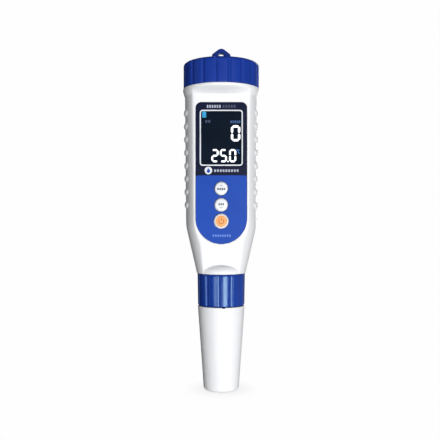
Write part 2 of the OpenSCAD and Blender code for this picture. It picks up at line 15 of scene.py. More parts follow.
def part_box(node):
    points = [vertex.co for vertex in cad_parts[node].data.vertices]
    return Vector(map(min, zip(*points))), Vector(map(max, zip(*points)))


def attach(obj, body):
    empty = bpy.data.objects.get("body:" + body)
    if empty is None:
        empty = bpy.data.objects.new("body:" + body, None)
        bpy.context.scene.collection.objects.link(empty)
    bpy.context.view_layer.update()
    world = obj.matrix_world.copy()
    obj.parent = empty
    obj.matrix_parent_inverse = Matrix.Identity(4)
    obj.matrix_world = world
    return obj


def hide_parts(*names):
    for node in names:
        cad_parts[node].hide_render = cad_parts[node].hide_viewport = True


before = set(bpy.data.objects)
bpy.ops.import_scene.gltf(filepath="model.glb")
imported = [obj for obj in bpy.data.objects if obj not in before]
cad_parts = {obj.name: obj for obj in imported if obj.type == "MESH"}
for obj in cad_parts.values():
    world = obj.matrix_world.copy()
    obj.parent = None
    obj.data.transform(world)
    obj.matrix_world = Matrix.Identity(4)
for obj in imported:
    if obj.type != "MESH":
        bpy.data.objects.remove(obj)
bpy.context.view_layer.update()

MM = 0.001


def low(node):
    """Lowest corner of a CAD node, in millimetres."""
    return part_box(node)[0] / MM


def high(node):
    """Highest corner of a CAD node, in millimetres."""
    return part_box(node)[1] / MM


# ---------------------------------------------------------------------------
# Driving dimensions, in millimetres

SEAM = 0.1
NECK_Z = high("collar").z + SEAM
PANEL_LOW = low("front_panel")
PANEL_HIGH = high("front_panel")
PANEL_HALF = PANEL_HIGH.x
PANEL_FACE_Y = PANEL_LOW.y
SHOULDER_Z = PANEL_HIGH.z + 5.2
RIM_Z = low("battery_cap").z - SEAM
BARREL_Z = NECK_Z + 24.8
NIPPLE_LOW_Z = low("housing").z
NIPPLE_TOP_Z = high("housing").z
FLANGE_R = high("housing").x
BATTERY_CAP_R = high("battery_cap").x
COLLAR_R = high("collar").x
LENS_MID = (low("display_lens") + high("display_lens")) / 2
LENS_SIZE = high("display_lens") - low("display_lens")

# Screw threads. Each starts at its own height, and a nut's thread is half a lead up.
THREAD_LEAD = 2.5
THREAD_DEPTH = 0.7
THREAD_BASE = 1.5
THREAD_CREST = 0.8
THREAD_PLAY = 0.2
LOWER_THREAD_Z = NIPPLE_LOW_Z + 2.6
LOWER_THREAD_TURNS = 2.5
UPPER_THREAD_Z = RIM_Z + 4.2
UPPER_THREAD_TURNS = 1.5
NIPPLE_R = 10.1
NIPPLE_BORE_R = 8.5
TOP_NIPPLE_R = 17.0
TOP_BORE_R = 15.6

# Sides of the round meshes
SKIN_SIDES = 288
CAP_SIDES = 540
PLAIN_SIDES = 144
KEY_SIDES = 96


# ---------------------------------------------------------------------------
# Mesh helpers

SHARP_DEGREES = 38


def turn(sides):
    """Angles of one turn, in radians, from +X."""
    return np.linspace(0, 2 * math.pi, sides, endpoint=False)


def spread(start, stop, step):
    """Heights from start to stop, at most step apart, without the last."""
    count = max(1, math.ceil(abs(stop - start) / step))
    return [start + (stop - start) * i / count for i in range(count)]


def quarter_round(size, steps):
    """Rise and inset of each point on a quarter round, from its flat end up."""
    angles = [math.radians(90 * step / steps) for step in range(steps + 1)]
    return [(size * (1 - math.cos(a)), size * (1 - math.sin(a))) for a in angles]


def applied(obj):
    """Replaces obj's mesh by its evaluated one, with every modifier applied."""
    depsgraph = bpy.context.evaluated_depsgraph_get()
    mesh = bpy.data.meshes.new_from_object(obj.evaluated_get(depsgraph))
    obj.modifiers.clear()
    obj.data = mesh
    return obj


def finish_mesh(obj, sharp_degrees=SHARP_DEGREES):
    """Smooth shading that keeps large faces flat and edges over sharp_degrees sharp."""
    mesh = obj.data
    bm = bmesh.new()
    bm.from_mesh(mesh)
    bmesh.ops.remove_doubles(bm, verts=bm.verts, dist=1e-7)
    bmesh.ops.recalc_face_normals(bm, faces=bm.faces)
    bm.to_mesh(mesh)
    bm.free()
    for polygon in mesh.polygons:
        polygon.use_smooth = True
    mesh.set_sharp_from_angle(angle=math.radians(sharp_degrees))
    weighted = obj.modifiers.new("weighted", "WEIGHTED_NORMAL")
    weighted.keep_sharp = True
    weighted.weight = 100
    return applied(obj)


def mesh_object(name, points, faces):
    """An object from points in millimetres."""
    mesh = bpy.data.meshes.new(name)
    mesh.from_pydata([tuple(p) for p in np.asarray(points) * MM], [], faces)
    obj = bpy.data.objects.new(name, mesh)
    bpy.context.scene.collection.objects.link(obj)
    return obj


def ring_stack(name, rings, sides, closed=True):
    """A mesh through rings of (height, radii). Each ring joins the next. The last
    joins the first when closed, and both get an end face when not."""
    angles = turn(sides)
    heights = np.array([ring[0] for ring in rings], float)
    radii = np.array([np.broadcast_to(ring[1], sides) for ring in rings], float)
    levels = np.broadcast_to(heights[:, None], radii.shape)
    points = np.stack([radii * np.cos(angles), radii * np.sin(angles), levels], axis=-1).reshape(-1, 3)
    count = len(rings)
    faces = []
    for i in range(count if closed else count - 1):
        here, there = i * sides, (i + 1) % count * sides
        for j in range(sides):
            k = (j + 1) % sides
            faces.append((here + j, here + k, there + k, there + j))
    if not closed:
        faces.append(tuple(range(sides - 1, -1, -1)))
        faces.append(tuple(range((count - 1) * sides, count * sides)))
    return mesh_object(name, points, faces)


def rounded_line(corners, steps=5, closed=False):
    """Points along a line through corners (u, v, rounding), with an arc at each corner."""
    line = []
    count = len(corners)
    for i, (u, v, rounding) in enumerate(corners):
        here = Vector((u, v))
        at_end = not closed and i in (0, count - 1)
        if rounding == 0 or at_end:
            line.append((u, v))
            continue
        back = (Vector(corners[i - 1][:2]) - here).normalized()
        ahead = (Vector(corners[(i + 1) % count][:2]) - here).normalized()
        half = back.angle(ahead) / 2
        reach = rounding / math.tan(half)
        centre = here + (back + ahead).normalized() * rounding / math.sin(half)
        start, end = here + back * reach - centre, here + ahead * reach - centre
        sweep = math.pi - 2 * half
        for step in range(steps + 1):
            done = step / steps
            arm = start * math.sin((1 - done) * sweep) + end * math.sin(done * sweep)
            point = centre + arm / math.sin(sweep)
            line.append((point.x, point.y))
    return line


def join(obj, *others):
    """Adds the others' meshes to obj and removes them."""
    bm = bmesh.new()
    for piece in (obj, *others):
        bm.from_mesh(piece.data)
    bm.to_mesh(obj.data)
    bm.free()
    for piece in others:
        bpy.data.objects.remove(piece)
    for polygon in obj.data.polygons:
        polygon.use_smooth = True


def cut(obj, *cutters):
    """Takes the cutters out of obj and removes them."""
    for cutter in cutters:
        boolean = obj.modifiers.new("cut", "BOOLEAN")
        boolean.operation = "DIFFERENCE"
        boolean.solver = "EXACT"
        boolean.object = cutter
    applied(obj)
    for cutter in cutters:
        bpy.data.objects.remove(cutter)


# ---------------------------------------------------------------------------
# Flat outlines in X and height, and plates made from them

def box_outline(x, z, width, height, corner=0.0, steps=5):
    """A rectangle about (x, z) with rounded corners."""
    left, right = x - width / 2, x + width / 2
    foot, top = z - height / 2, z + height / 2
    corners = [(left, foot), (right, foot), (right, top), (left, top)]
    return rounded_line([(*point, corner) for point in corners], steps, closed=True)


def disc_outline(x, z, radius, sides=48):
    """A circle about (x, z)."""
    return [(x + radius * math.cos(a), z + radius * math.sin(a)) for a in turn(sides)]


def stroke_outline(line, width):
    """The outline of a stroke of one width along an open line. Its mitres are held
    short where the line turns sharply."""
    shortest = 0.3
    points = [Vector(p) for p in line]
    left, right = [], []
    for i, point in enumerate(points):
        ahead = (points[min(i + 1, len(points) - 1)] - point).normalized()
        back = (point - points[max(i - 1, 0)]).normalized()
        if i == 0:
            back = ahead
        if i == len(points) - 1:
            ahead = back
        along = (ahead + back).normalized()
        side = Vector((-along.y, along.x)) * width / 2 / max(shortest, along.dot(ahead))
        left.append(tuple(point + side))
        right.append(tuple(point - side))
    return left + right[::-1]


def plate(name, outlines, front_y, back_y, edge=0.0):
    """A plate between two depths. An outline inside another one is a hole."""
    curve = bpy.data.curves.new(name, "CURVE")
    curve.dimensions = "2D"
    curve.fill_mode = "BOTH"
    curve.extrude = (back_y - front_y) / 2 - edge
    curve.bevel_depth = edge
    curve.bevel_resolution = 2
    curve.offset = -edge
    for outline in outlines:
        spline = curve.splines.new("POLY")
        spline.points.add(len(outline) - 1)
        for point, (x, z) in zip(spline.points, outline):
            point.co = (x, z, 0, 1)
        spline.use_cyclic_u = True
    drawn = bpy.data.objects.new(name, curve)
    bpy.context.scene.collection.objects.link(drawn)
    depsgraph = bpy.context.evaluated_depsgraph_get()
    mesh = bpy.data.meshes.new_from_object(drawn.evaluated_get(depsgraph))
    bpy.data.objects.remove(drawn)
    bpy.data.curves.remove(curve)
    stand_up = Matrix.Translation((0, (front_y + back_y) / 2, 0)) @ Matrix.Rotation(math.pi / 2, 4, "X")
    mesh.transform(Matrix.Scale(MM, 4) @ stand_up)
    mesh.name = name
    mesh.materials.clear()
    obj = bpy.data.objects.new(name, mesh)
    bpy.context.scene.collection.objects.link(obj)
    return finish_mesh(obj)


def rod(name, front_y, back_y, z, radius):
    """A round bar that runs front to back in the pen's middle plane."""
    return plate(name, [disc_outline(0, z, radius)], front_y, back_y)


# ---------------------------------------------------------------------------
# Materials. Sizes of their patterns are in millimetres.

DRIFT_MM = 9.0
PATCH_MM = 2.2
# How far the painted shade in creases reaches
CREASE_SHADE_MM = 2.0


def node_at(tree, kind, **inputs):
    """A shader node with some of its inputs set."""
    node = tree.nodes.new(kind)
    for key, value in inputs.items():
        node.inputs[key.replace("_", " ")].default_value = value
    return node


def noise(tree, size_mm, detail=3.0, stretch=(1, 1, 1)):
    """A noise whose blotches are about size_mm across, in the object's own space."""
    place = tree.nodes.new("ShaderNodeTexCoord")
    scale = tree.nodes.new("ShaderNodeMapping")
    scale.inputs["Scale"].default_value = [s / (size_mm * MM) for s in stretch]
    texture = node_at(tree, "ShaderNodeTexNoise", Scale=1.0, Detail=detail, Roughness=0.55)
    tree.links.new(place.outputs["Object"], scale.inputs["Vector"])
    tree.links.new(scale.outputs["Vector"], texture.inputs["Vector"])
    return texture.outputs["Fac"]


def ramp(tree, source, from_low, from_high, to_low, to_high):
    """Maps one range of values onto another, held at both ends."""
    node = node_at(tree, "ShaderNodeMapRange", From_Min=from_low, From_Max=from_high, To_Min=to_low,
                   To_Max=to_high)
    tree.links.new(source, node.inputs["Value"])
    return node.outputs["Result"]


def mixed(tree, factor, first, second):
    """A colour between first and second. Each is a colour or a socket."""
    node = tree.nodes.new("ShaderNodeMix")
    node.data_type = "RGBA"
    tree.links.new(factor, node.inputs["Factor"])
    for socket, value in ((node.inputs[6], first), (node.inputs[7], second)):
        if isinstance(value, (tuple, list)):
            socket.default_value = (*value, 1)
        else:
            tree.links.new(value, socket)
    return node.outputs[2]


def shade(colour, factor):
    """A colour made lighter or darker."""
    return tuple(min(1.0, c * factor) for c in colour)


def surface(name, colour, roughness, grain_mm=0.35, bump_mm=0.004, blotch=0.06, wear_and_hollow_shade=0.25, crease_shade=0.0,
            metallic=0.0, coat=0.0, specular=0.5, tint=(1, 1, 1), rough_swing=0.07, stretch=(1, 1, 1)):
    """A solid material: a slow drift of colour, worn edges, dull and bright patches,
    painted shade in its hollows and creases, and a fine grain in its relief."""
    material = bpy.data.materials.new(name)
    material.use_nodes = True
    tree = material.node_tree
    shader = tree.nodes["Principled BSDF"]
    shader.inputs["Metallic"].default_value = metallic
    shader.inputs["Coat Weight"].default_value = coat
    shader.inputs["Coat Roughness"].default_value = 0.08
    shader.inputs["Specular IOR Level"].default_value = specular
    shader.inputs["Specular Tint"].default_value = (*tint, 1)

    drift = ramp(tree, noise(tree, DRIFT_MM, 4.0), 0.35, 0.65, 0, 1)
    body = mixed(tree, drift, shade(colour, 1 - blotch), shade(colour, 1 + blotch))
    edges = tree.nodes.new("ShaderNodeNewGeometry").outputs["Pointiness"]
    worn = ramp(tree, edges, 0.52, 0.60, 0, wear_and_hollow_shade)
    body = mixed(tree, worn, body, shade([c * 0.8 + 0.12 for c in colour], 1.1))
    # Painted shade: concave hollows are darkened where shade would fall.
    hollow_shade = ramp(tree, edges, 0.48, 0.40, 0, wear_and_hollow_shade * 0.8)
    body = mixed(tree, hollow_shade, body, shade(colour, 0.55))
    # Painted shade: creases found by ambient occlusion are darkened almost to black.
    if crease_shade:
        openness = node_at(tree, "ShaderNodeAmbientOcclusion", Distance=CREASE_SHADE_MM * MM).outputs["AO"]
        body = mixed(tree, ramp(tree, openness, 0.85, 0.42, 0, crease_shade), body, shade(colour, 0.12))
    tree.links.new(body, shader.inputs["Base Color"])

    dull = noise(tree, PATCH_MM, 5.0, stretch)
    rough = ramp(tree, dull, 0.3, 0.7, roughness - rough_swing, roughness + rough_swing)
    tree.links.new(rough, shader.inputs["Roughness"])

    relief = tree.nodes.new("ShaderNodeBump")
    relief.inputs["Distance"].default_value = bump_mm * MM
    relief.inputs["Strength"].default_value = 1.0
    tree.links.new(noise(tree, grain_mm, 2.0, stretch), relief.inputs["Height"])
    tree.links.new(relief.outputs["Normal"], shader.inputs["Normal"])
    return material


def glowing(name, colour, strength):
    """A lit segment of the display: its light is a little uneven."""
    material = bpy.data.materials.new(name)
    material.use_nodes = True
    tree = material.node_tree
    shader = tree.nodes["Principled BSDF"]
    shader.inputs["Roughness"].default_value = 0.4
    shader.inputs["Emission Strength"].default_value = strength
    uneven = ramp(tree, noise(tree, 1.5, 2.0), 0.3, 0.7, 0, 1)
    light = mixed(tree, uneven, shade(colour, 0.93), colour)
    ink = mixed(tree, uneven, shade(colour, 0.5), shade(colour, 0.6))
    tree.links.new(light, shader.inputs["Emission Color"])
    tree.links.new(ink, shader.inputs["Base Color"])
    return material


WHITE_ABS = surface("white_abs", (0.80, 0.81, 0.83), 0.34, blotch=0.012, wear_and_hollow_shade=0.10, bump_mm=0.003,
                    crease_shade=0.75)
BLUE_ABS = surface("blue_abs", (0.006, 0.036, 0.28), 0.20, blotch=0.05, wear_and_hollow_shade=0.10, bump_mm=0.0015,
                   crease_shade=0.8, specular=0.6, tint=(0.62, 0.95, 1.0))
BLUE_MATT = surface("blue_abs_matt", (0.007, 0.036, 0.285), 0.45, blotch=0.05, wear_and_hollow_shade=0.10, bump_mm=0.004,
                    specular=0.15)
NAVY_FILM = surface("navy_film", (0.0015, 0.0055, 0.028), 0.35, blotch=0.06, wear_and_hollow_shade=0.15, bump_mm=0.001,
                    specular=0.15)
BLUE_FILM = surface("blue_film", (0.011, 0.064, 0.40), 0.35, blotch=0.03, wear_and_hollow_shade=0.0, bump_mm=0.001,
                    specular=0.15)
LENS = surface("smoked_lens", (0.0035, 0.008, 0.0177), 0.12, blotch=0.1, wear_and_hollow_shade=0.2, bump_mm=0.0003,
               specular=0.15, rough_swing=0.03)
WHITE_PRINT = surface("white_print", (0.72, 0.75, 0.80), 0.45, blotch=0.05, wear_and_hollow_shade=0.0, bump_mm=0.001)
PALE_PRINT = surface("pale_print", (0.36, 0.40, 0.50), 0.45, blotch=0.05, wear_and_hollow_shade=0.0, bump_mm=0.001)
DIM_PRINT = surface("dim_print", (0.035, 0.045, 0.10), 0.45, blotch=0.08, wear_and_hollow_shade=0.0, bump_mm=0.001)
BLUE_PRINT = surface("blue_print", (0.10, 0.22, 0.62), 0.4, blotch=0.05, wear_and_hollow_shade=0.0, bump_mm=0.001)
KEY_WHITE = surface("key_white", (0.78, 0.80, 0.84), 0.42, blotch=0.02, wear_and_hollow_shade=0.12, bump_mm=0.004)
KEY_ORANGE = surface("key_orange", (0.84, 0.36, 0.10), 0.38, blotch=0.05, wear_and_hollow_shade=0.15, bump_mm=0.004)
KEY_PRINT = surface("key_print", (0.075, 0.075, 0.085), 0.5, blotch=0.05, wear_and_hollow_shade=0.0, bump_mm=0.001)
KEY_ARROW = surface("key_arrow", (0.26, 0.27, 0.30), 0.5, blotch=0.05, wear_and_hollow_shade=0.0, bump_mm=0.001)
POWER_PRINT = surface("power_print", (0.36, 0.09, 0.025), 0.5, blotch=0.05, wear_and_hollow_shade=0.0, bump_mm=0.001)
DARK_PLASTIC = surface("dark_plastic", (0.022, 0.023, 0.026), 0.45, grain_mm=0.25, bump_mm=0.008)
NATURAL_PLASTIC = surface("natural_plastic", (0.62, 0.60, 0.53), 0.5)
RUBBER = surface("rubber", (0.014, 0.014, 0.015), 0.62, grain_mm=0.2, bump_mm=0.006)
STEEL = surface("steel", (0.62, 0.63, 0.65), 0.28, metallic=1.0, grain_mm=0.12, bump_mm=0.002,
                stretch=(1, 1, 8))
GOLD = surface("gold_plate", (0.83, 0.60, 0.24), 0.24, metallic=1.0, bump_mm=0.001)
GRAPHITE = surface("graphite", (0.045, 0.045, 0.05), 0.5, grain_mm=0.15, bump_mm=0.006)
GLASS_BACK = surface("lcd_glass", (0.03, 0.05, 0.055), 0.08, coat=0.6, bump_mm=0.0003)
BOARD = surface("board_green", (0.012, 0.13, 0.05), 0.38, grain_mm=0.6, bump_mm=0.01)
RIBBON = surface("ribbon_film", (0.52, 0.22, 0.05), 0.3)
JACKET = surface("cell_jacket", (0.05, 0.07, 0.11), 0.22, blotch=0.1, metallic=0.4)
LEADS = surface("lead_insulation", (0.42, 0.02, 0.015), 0.35)
SEGMENT_WHITE = glowing("segment_white", (0.93, 0.97, 1.0), 1.15)
SEGMENT_CYAN = glowing("segment_cyan", (0.03, 0.42, 0.80), 0.9)
SEGMENT_BLUE = glowing("segment_blue", (0.03, 0.17, 0.50), 0.9)
SEGMENT_FAINT = glowing("segment_faint", (0.015, 0.07, 0.22), 0.7)
SEGMENT_DIM = glowing("segment_dim", (0.02, 0.035, 0.085), 0.6)


def coat_with(obj, material):
    """Makes this the object's only material."""
    obj.data.materials.clear()
    obj.data.materials.append(material)


def place(obj, material, body, slot, *nodes):
    """Finishes a new piece: its material, its body and what it stands for. The slot is not used."""
    coat_with(obj, material)
    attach(obj, body)
    if nodes:
        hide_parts(*nodes)


# ---------------------------------------------------------------------------
# Screw threads

def thread(z, angles, start_z, turns, facing=1):
    """Height of a screw thread's ridge at one height, for each angle. It rises
    outwards when facing is 1 and inwards when it is -1."""
    lead_angle = angles / (2 * math.pi)
    lap = np.round((z - start_z) / THREAD_LEAD - lead_angle)
    along = lap + lead_angle
    off = np.abs(z - start_z - THREAD_LEAD * along)
    flank = (THREAD_BASE - THREAD_CREST) / 2
    ridge = np.clip((THREAD_BASE / 2 - off) / flank, 0, 1)
    lead_in = 0.06
    ends = np.clip(along / lead_in, 0, 1) * np.clip((turns - along) / lead_in, 0, 1)
    return facing * THREAD_DEPTH * ridge * ends


# ---------------------------------------------------------------------------
# Housing

# The higher this power, the tighter the corners between the sides and the flats
BLEND = 60.0
NECK_R = 12.85
NECK_RING_Z = NECK_Z + 1.0
NECK_ROUND = 3.5
NECK_TAPER = 0.2318
BARREL_R = 18.6
BARREL_TAPER = 0.0088
FLAT_Y = -PANEL_HIGH.y + 0.5
FLAT_LOW_Z = NECK_Z + 15.1
FLAT_TAPER = 0.238
LEDGE_Z = SHOULDER_Z - 0.8
LEDGE_TOP_Z = RIM_Z - 1.1
LEDGE_BULGE = 1.4
GRIP_COUNT = 8
GRIP_PITCH = 6.85
GRIP_TOP_Z = SHOULDER_Z - 9.6
GRIP_ANGLE = math.radians(77)
GRIP_HALF_LENGTH = 3.9
GRIP_HALF_HEIGHT = 1.85
GRIP_PROUD = 0.85


def soft_min(*radii):
    """The smallest radius, with the corners between them rounded."""
    return sum(r ** -BLEND for r in radii) ** (-1 / BLEND)


def soft_max(*radii):
    """The largest radius, with the corners between them filled."""
    return sum(r ** BLEND for r in radii) ** (1 / BLEND)


def eased_min(first, second, softness):
    """The smaller of two numbers, with a smooth change from one to the other."""
    return -softness * math.log(math.exp(-first / softness) + math.exp(-second / softness))


def side_radius(z):
    """Radius of the housing's round sides at a height."""
    neck = NECK_R + (z - NECK_Z) * NECK_TAPER
    barrel = BARREL_R + (z - BARREL_Z) * BARREL_TAPER
    return eased_min(neck, barrel, softness=0.15)


def half_depth(z):
    """Distance of the flat front and back from the axis at a height."""
    return eased_min(FLAT_Y + (z - FLAT_LOW_Z) * FLAT_TAPER, FLAT_Y, softness=0.08)


def neck_radius(z):
    """Radius of the round neck above the collar, with its rounded shoulder."""
    rise = min(max(z - NECK_RING_Z, 0), NECK_ROUND)
    return NECK_R - NECK_ROUND + math.sqrt(NECK_ROUND ** 2 - rise ** 2)


def skin_radii(z, angles):
    """The housing's smooth outer section at a height: round sides, flat front and
    back, the neck where it stands in front of them, and the ledge where they widen
    into the round flange."""
    sides = np.full_like(angles, side_radius(z))
    flats = half_depth(z) / np.maximum(np.abs(np.sin(angles)), 1e-6)
    body = soft_min(sides, flats)
    if z > LEDGE_Z:
        rise = min(1.0, (z - LEDGE_Z) / (LEDGE_TOP_Z - LEDGE_Z))
        return body + (FLANGE_R - body) * (1 - (1 - rise) ** LEDGE_BULGE)
    if z > NECK_RING_Z + NECK_ROUND:
        return body
    return soft_max(body, np.full_like(angles, neck_radius(z)))


def grip_height(z, angles, radii):
    """Height of the raised ovals on the two sides, a little towards the front."""
    height = np.zeros_like(angles)
    for i in range(GRIP_COUNT):
        up = (z - (GRIP_TOP_Z - i * GRIP_PITCH)) / GRIP_HALF_HEIGHT
        if abs(up) >= 1:
            continue
        for middle in (GRIP_ANGLE - math.pi / 2, 3 * math.pi / 2 - GRIP_ANGLE):
            across = np.angle(np.exp(1j * (angles - middle))) * radii / GRIP_HALF_LENGTH
            height += GRIP_PROUD * np.clip(1 - across ** 2 - up ** 2, 0, 1) ** 0.6
    return height


def skin_ring(z, angles):
    """One ring of the housing's outside, with its grips."""
    radii = skin_radii(z, angles)
    return radii + grip_height(z, angles, radii)


def housing_outside(angles):
    """Rings of the outside, from the lower nipple up to the flange's rim."""
    bevel = 0.5
    foot_edge = 0.45
    rim_edge = 0.3
    rings = [(NIPPLE_LOW_Z, NIPPLE_R - bevel)]
    for z in spread(NIPPLE_LOW_Z + bevel, NECK_Z, 0.25):
        rings.append((z, NIPPLE_R + thread(z, angles, LOWER_THREAD_Z, LOWER_THREAD_TURNS)))
    rings.append((NECK_Z, NIPPLE_R))
    for rise, inset in quarter_round(foot_edge, 4):
        rings.append((NECK_Z + rise, skin_ring(NECK_Z + rise, angles) - inset))
    neck_top = NECK_RING_Z + NECK_ROUND + 0.4
    grips_low = GRIP_TOP_Z - GRIP_COUNT * GRIP_PITCH + 4.0
    grips_high = GRIP_TOP_Z + 2.5
    bands = [
        (NECK_Z + 0.6, NECK_RING_Z, 0.5),
        (NECK_RING_Z, neck_top, 0.1),
        (neck_top, grips_low, 0.7),
        (grips_low, grips_high, 0.34),
        (grips_high, LEDGE_Z, 0.8),
        (LEDGE_Z, LEDGE_TOP_Z, 0.25),
    ]
    for start, stop, step in bands:
        for z in spread(start, stop, step):
            rings.append((z, skin_ring(z, angles)))
    rings.append((LEDGE_TOP_Z + 0.1, FLANGE_R - 0.12))
    rings.append((LEDGE_TOP_Z + 0.35, FLANGE_R))
    for inset, drop in quarter_round(rim_edge, 3):
        rings.append((RIM_Z - drop, FLANGE_R - inset))
    return rings


def housing_top(angles):
    """Rings of the upper nipple: O-ring groove, thread and bevelled top."""
    groove_r = TOP_NIPPLE_R - 1.1
    groove_low, groove_high = RIM_Z + 0.9, RIM_Z + 2.7
    bevel = 0.4
    rings = [(RIM_Z, TOP_NIPPLE_R), (groove_low, TOP_NIPPLE_R), (groove_low, groove_r),
             (groove_high, groove_r), (groove_high, TOP_NIPPLE_R)]
    for z in spread(groove_high + 0.05, NIPPLE_TOP_Z - 0.5, 0.22):
        rings.append((z, TOP_NIPPLE_R + thread(z, angles, UPPER_THREAD_Z, UPPER_THREAD_TURNS)))
    rings.append((NIPPLE_TOP_Z - bevel, TOP_NIPPLE_R))
    rings.append((NIPPLE_TOP_Z, TOP_NIPPLE_R - bevel))
    return rings


def housing_inside(angles):
    """Rings of the inside, from the top bore down to the lower nipple's mouth. The
    cavity follows the flat front and back, and narrows in even steps."""
    bevel = 0.3
    ceiling_z = SHOULDER_Z + 1.2
    wall = 1.5
    cone_z = NECK_Z + 26.6
    cone_step = 6.0
    cone_radii = (17.0, 14.2, 11.3, NIPPLE_BORE_R)
    flats = (FLAT_Y - wall) / np.maximum(np.abs(np.sin(angles)), 1e-6)

    def cavity(radius):
        return soft_min(np.full_like(angles, radius), flats)

    rings = [(NIPPLE_TOP_Z, TOP_BORE_R + bevel), (NIPPLE_TOP_Z - bevel, TOP_BORE_R)]
    rings.append((ceiling_z, TOP_BORE_R))
    rings.append((ceiling_z, cavity(cone_radii[0])))
    for i, radius in enumerate(cone_radii):
        rings.append((cone_z - i * cone_step, cavity(radius)))
    rings.append((NIPPLE_LOW_Z, NIPPLE_BORE_R))
    return rings


def panel_outline(top_z=PANEL_HIGH.z, corner=2.8, grow=0.0):
    """The panel's shape up to a height: rounded top corners and a half-round foot."""
    half = PANEL_HALF + grow
    middle_z = PANEL_LOW.z + PANEL_HALF
    foot = [(half * math.cos(a), middle_z + half * math.sin(a))
            for a in np.linspace(math.pi, 2 * math.pi, 49)]
    top = [(half, middle_z, 0), (half, top_z + grow, corner + grow)]
    top += [(-x, z, rounding) for x, z, rounding in reversed(top)]
    return foot + rounded_line(top, 8)[1:-1]


KEY_RIM = 0.6
KEYS = {
    "mode": ("mode_key", high("mode_key").x - KEY_RIM),
    "cal": ("cal_key", high("cal_key").x - KEY_RIM),
    "power": ("power_key_ring", high("power_key_ring").x - KEY_RIM),
}


def key_height(key):
    """Height of a key's middle."""
    node = KEYS[key][0]
    return (low(node).z + high(node).z) / 2


def make_housing():
    """The housing in one shell, with the panel's recess and its openings cut."""
    outside_y, inside_y = -20, -8
    recess_play = 0.08
    lens_rest = 0.7
    key_play = 0.3
    angles = turn(SKIN_SIDES)
    rings = housing_outside(angles) + housing_top(angles) + housing_inside(angles)
    housing = ring_stack("housing_shell", rings, SKIN_SIDES)
    finish_mesh(housing)
    recess = plate("recess", [panel_outline(grow=recess_play)], outside_y, PANEL_HIGH.y)
    opening = box_outline(0, LENS_MID.z, LENS_SIZE.x - 2 * lens_rest, LENS_SIZE.z - 2 * lens_rest)
    window = plate("window", [opening], outside_y, inside_y)
    holes = [rod("hole", outside_y, inside_y, key_height(key), radius + KEY_RIM + key_play)
             for key, (_, radius) in KEYS.items()]
    cut(housing, recess, window, *holes)
    housing.data.set_sharp_from_angle(angle=math.radians(SHARP_DEGREES))
    place(housing, WHITE_ABS, "housing", "white_abs", "housing")


# ---------------------------------------------------------------------------
# Battery cap and collar

def fluting(angles, count, first, radius, cutter_r, depth, crown):
    """Depth of a grip's outline below its circle: round grooves, and lands that
    are crowned between them."""
    pitch = 2 * math.pi / count
    part = (angles - first) / pitch
    off = (part - np.round(part)) * pitch * radius
    round_groove = np.sqrt(np.maximum(cutter_r ** 2 - off ** 2, 0)) - (cutter_r - depth)
    softness = 0.04
    groove = softness * np.logaddexp(0, round_groove / softness)
    land = 1 - np.abs(off) / (pitch * radius / 2)
    return groove + crown * land ** 3


CAP_EAR_H = 8.3
CAP_PEDESTAL_H = 2.3


def cap_outside(angles, bottom_z, top_z, grip):
    """Rings of the battery cap's outside: lobed skirt, rounded edge, and a low dome
    with a round pedestal. The lobes fade out on the way round the edge."""
    edge = 1.7
    edge_steps = 8
    edge_degrees = 82
    rings = []
    for rise, inset, share in ((0, 0.35, 0.6), (0.12, 0.1, 0.9), (0.35, 0, 1)):
        rings.append((bottom_z + rise, BATTERY_CAP_R - inset - share * grip))
    for z in spread(bottom_z + 1, top_z - edge, 1.6):
        rings.append((z, BATTERY_CAP_R - grip))
    for step in range(edge_steps + 1):
        done = step / edge_steps
        a = math.radians(edge_degrees * done)
        inset = edge * (1 - math.cos(a))
        share = max(0.0, 1 - 1.15 * done)
        rings.append((top_z - edge + edge * math.sin(a), BATTERY_CAP_R - inset - share * grip))
    dome = [(17.0, 0.3), (14.0, 0.58), (11.0, 0.8), (8.2, 0.95)]
    pedestal = [(7.4, 1.05), (6.95, 1.3), (6.6, 1.8), (6.3, 2.2), (5.9, 2.45), (5.4, 2.55), (3.0, 2.6),
                (0.6, 2.62)]
    rings.extend((top_z + rise, radius) for radius, rise in dome + pedestal)
    return rings


def cap_inside(angles, bottom_z, top_z):
    """Rings of the battery cap's inside, from the middle of its roof down to its
    foot: screw hole, boss, roof and thread."""
    roof_z = top_z - 2.2
    bore_r = TOP_NIPPLE_R + THREAD_DEPTH + THREAD_PLAY
    boss_r, boss_z = 4.0, roof_z - 2.1
    hole_r, hole_z = 1.2, roof_z + 2
    bevel = 0.4
    thread_z = UPPER_THREAD_Z + THREAD_LEAD / 2
    rings = [(hole_z, 0.3), (hole_z, hole_r), (boss_z, hole_r), (boss_z, boss_r), (roof_z, boss_r),
             (roof_z, bore_r)]
    for z in spread(roof_z - 0.2, bottom_z + 0.6, 0.25):
        rings.append((z, bore_r + thread(z, angles, thread_z, UPPER_THREAD_TURNS, facing=-1)))
    return rings + [(bottom_z + bevel, bore_r), (bottom_z, bore_r + bevel)]


def lanyard_loop(foot_z):
    """The low ear on top of the battery cap, with its round eye. Its sides lean in
    and meet above the top, which the rounding then brings down to its height."""
    apex_z = high("battery_cap").z
    meeting_z = apex_z + 0.68
    side_z = apex_z - 3.0
    eye_z = apex_z - 4.0
    eye_r = 1.5
    foot_half, side_half = 5.2, 4.8
    half_thick = 1.8
    corners = [(-foot_half, foot_z, 0), (-side_half, side_z, 0.7), (0, meeting_z, 2.8),
               (side_half, side_z, 0.7), (foot_half, foot_z, 0)]
    outlines = [rounded_line(corners, 8), disc_outline(0, eye_z, eye_r, 40)]
    return plate("loop", outlines, -half_thick, half_thick, edge=0.45)


